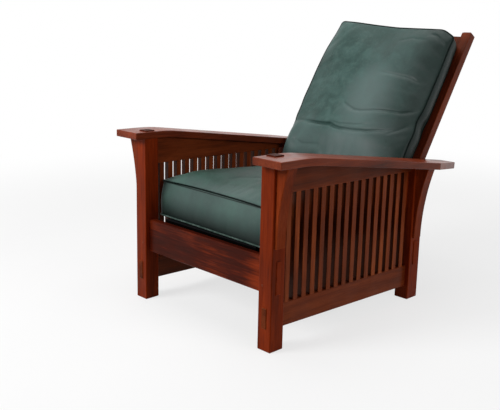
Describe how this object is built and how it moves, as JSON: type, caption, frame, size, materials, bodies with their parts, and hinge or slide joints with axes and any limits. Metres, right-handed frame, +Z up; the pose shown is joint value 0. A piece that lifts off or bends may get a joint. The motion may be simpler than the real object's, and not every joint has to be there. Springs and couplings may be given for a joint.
{
  "type": "reclining armchair",
  "caption": "Slatted wooden reclining armchair with bent sloping arms, loose leather seat and back cushions, and a hinged back that rests on pegs in the arms.",
  "frame": {"origin": "on the floor, midway between the foremost and rearmost points and midway between the arms", "axes": "+Z up, +Y to the rear of the chair, +X to the sitter's left"},
  "size_m": [0.83, 1.1543, 0.9652],
  "materials": {
    "frame_wood": "satin red-brown stained hardwood",
    "arm_wood": "semi-gloss red-brown stained hardwood",
    "spindle_wood": "satin red-brown stained hardwood",
    "back_wood": "satin red-brown stained hardwood",
    "peg_wood": "satin turned hardwood",
    "seat_wood": "matt, stained nearly black",
    "webbing": "woven black straps",
    "pin_metal": "plain drawn steel",
    "seat_leather": "dark green leather, soft sheen",
    "back_leather": "dark green leather, soft sheen"
  },
  "bodies": {
    "frame": {"front_post_left": "frame_wood", "front_post_right": "frame_wood", "rear_post_left": "frame_wood", "rear_post_right": "frame_wood", "arm_left": "arm_wood", "arm_right": "arm_wood", "front_corbel_left": "frame_wood", "front_corbel_right": "frame_wood", "rear_corbel_left": "frame_wood", "rear_corbel_right": "frame_wood", "lower_side_rail_left": "frame_wood", "lower_side_rail_right": "frame_wood", "upper_side_rail_left": "frame_wood", "upper_side_rail_right": "frame_wood", "spindle_left_01": "spindle_wood", "spindle_left_02": "spindle_wood", "spindle_left_03": "spindle_wood", "spindle_left_04": "spindle_wood", "spindle_left_05": "spindle_wood", "spindle_left_06": "spindle_wood", "spindle_left_07": "spindle_wood", "spindle_left_08": "spindle_wood", "spindle_left_09": "spindle_wood", "spindle_left_10": "spindle_wood", "spindle_left_11": "spindle_wood", "spindle_left_12": "spindle_wood", "spindle_left_13": "spindle_wood", "spindle_left_14": "spindle_wood", "spindle_left_15": "spindle_wood", "spindle_left_16": "spindle_wood", "spindle_right_01": "spindle_wood", "spindle_right_02": "spindle_wood", "spindle_right_03": "spindle_wood", "spindle_right_04": "spindle_wood", "spindle_right_05": "spindle_wood", "spindle_right_06": "spindle_wood", "spindle_right_07": "spindle_wood", "spindle_right_08": "spindle_wood", "spindle_right_09": "spindle_wood", "spindle_right_10": "spindle_wood", "spindle_right_11": "spindle_wood", "spindle_right_12": "spindle_wood", "spindle_right_13": "spindle_wood", "spindle_right_14": "spindle_wood", "spindle_right_15": "spindle_wood", "spindle_right_16": "spindle_wood", "front_seat_rail": "frame_wood", "rear_seat_rail": "frame_wood", "seat_cleats": "seat_wood", "seat_frame": "seat_wood", "seat_webbing": "webbing", "pivot_pins": "pin_metal", "seat_cushion": "seat_leather"},
    "back": {"back_stile_left": "back_wood", "back_stile_right": "back_wood", "back_top_rail": "back_wood", "back_slats": "back_wood", "back_cushion": "back_leather"},
    "peg_left": {"peg_left": "peg_wood"},
    "peg_right": {"peg_right": "peg_wood"}
  },
  "joints": [
    {"name": "back_hinge", "type": "hinge", "parent": "frame", "child": "back", "pos_m": [0, 0.17689, 0.32648], "axis": [1, 0, 0], "range_deg": [0, 21.5]},
    {"name": "peg_left_slide", "type": "slide", "parent": "frame", "child": "peg_left", "axis": [-1, 0, 0], "range_m": [0, 0.065]},
    {"name": "peg_right_slide", "type": "slide", "parent": "frame", "child": "peg_right", "axis": [1, 0, 0], "range_m": [0, 0.065]}
  ]
}
